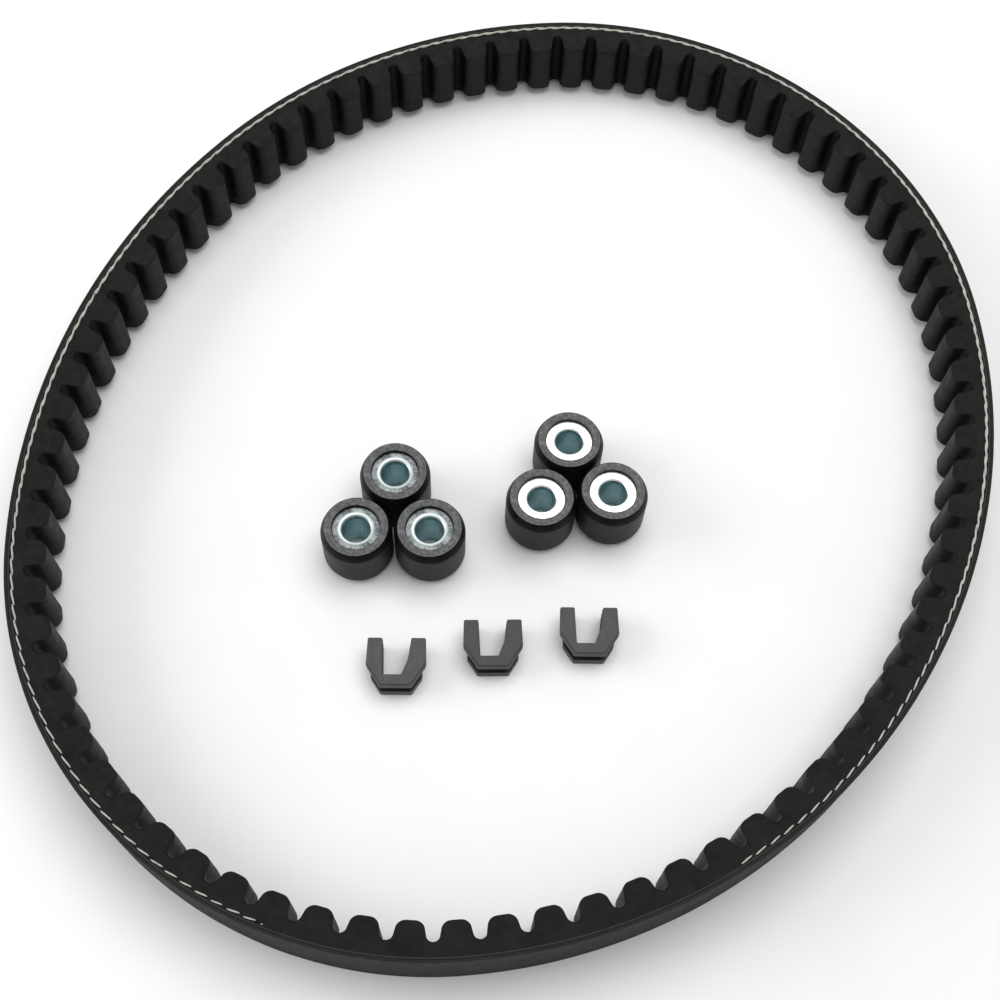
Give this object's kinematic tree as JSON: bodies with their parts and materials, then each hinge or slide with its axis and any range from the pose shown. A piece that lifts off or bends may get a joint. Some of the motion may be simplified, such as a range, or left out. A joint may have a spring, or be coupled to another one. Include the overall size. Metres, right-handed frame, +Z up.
{
  "type": "scooter variator belt and roller service set",
  "caption": "Raw-edge cogged V-belt lying as an oval loop round standing variator roller weights with metal inserts and U-shaped grooved slide pieces.",
  "frame": {"origin": "middle of the belt's loop on the surface that the set stands on", "axes": "+Z up, across the belt's width; +Y along the long axis of the belt's oval; +X across it"},
  "size_m": [0.2115, 0.2512, 0.018],
  "materials": {
    "belt_cover": "woven cover calendered into rubber, faint mottling",
    "belt_rubber": "matte cut rubber with short fibres",
    "belt_cord": "twisted cord",
    "cog_fabric": "thin ribbed fabric pressed over the cogs",
    "roller_polymer": "moulded charcoal polymer with fine turning marks on the ends",
    "insert_plain": "mottled zinc-plated metal with a bright edge at the bore",
    "insert_polished": "smooth bright metal",
    "slide_polymer": "glass-filled moulded plastic, faintly mottled"
  },
  "bodies": {
    "belt": {"belt_back_cover": "belt_cover", "belt_overcord_rubber": "belt_rubber", "belt_tension_cords": "belt_cord", "belt_cog_rubber": "belt_rubber", "belt_cog_facing": "cog_fabric"},
    "roller_1": {"roller_sleeve_1": "roller_polymer", "roller_insert_1": "insert_plain"},
    "roller_2": {"roller_sleeve_2": "roller_polymer", "roller_insert_2": "insert_plain"},
    "roller_3": {"roller_sleeve_3": "roller_polymer", "roller_insert_3": "insert_plain"},
    "roller_4": {"roller_sleeve_4": "roller_polymer", "roller_insert_4": "insert_polished"},
    "roller_5": {"roller_sleeve_5": "roller_polymer", "roller_insert_5": "insert_polished"},
    "roller_6": {"roller_sleeve_6": "roller_polymer", "roller_insert_6": "insert_polished"},
    "slide_1": {"slide_piece_1": "slide_polymer"},
    "slide_2": {"slide_piece_2": "slide_polymer"},
    "slide_3": {"slide_piece_3": "slide_polymer"}
  },
  "joints": [
    {"name": "roller_1_lift", "type": "slide", "parent": "belt", "child": "roller_1", "axis": [0, 0, 1], "range_m": [0, 0.04]},
    {"name": "roller_2_lift", "type": "slide", "parent": "belt", "child": "roller_2", "axis": [0, 0, 1], "range_m": [0, 0.04]},
    {"name": "roller_3_lift", "type": "slide", "parent": "belt", "child": "roller_3", "axis": [0, 0, 1], "range_m": [0, 0.04]},
    {"name": "roller_4_lift", "type": "slide", "parent": "belt", "child": "roller_4", "axis": [0, 0, 1], "range_m": [0, 0.04]},
    {"name": "roller_5_lift", "type": "slide", "parent": "belt", "child": "roller_5", "axis": [0, 0, 1], "range_m": [0, 0.04]},
    {"name": "roller_6_lift", "type": "slide", "parent": "belt", "child": "roller_6", "axis": [0, 0, 1], "range_m": [0, 0.04]},
    {"name": "slide_1_lift", "type": "slide", "parent": "belt", "child": "slide_1", "axis": [0, 0, 1], "range_m": [0, 0.03]},
    {"name": "slide_2_lift", "type": "slide", "parent": "belt", "child": "slide_2", "axis": [0, 0, 1], "range_m": [0, 0.03]},
    {"name": "slide_3_lift", "type": "slide", "parent": "belt", "child": "slide_3", "axis": [0, 0, 1], "range_m": [0, 0.03]}
  ]
}
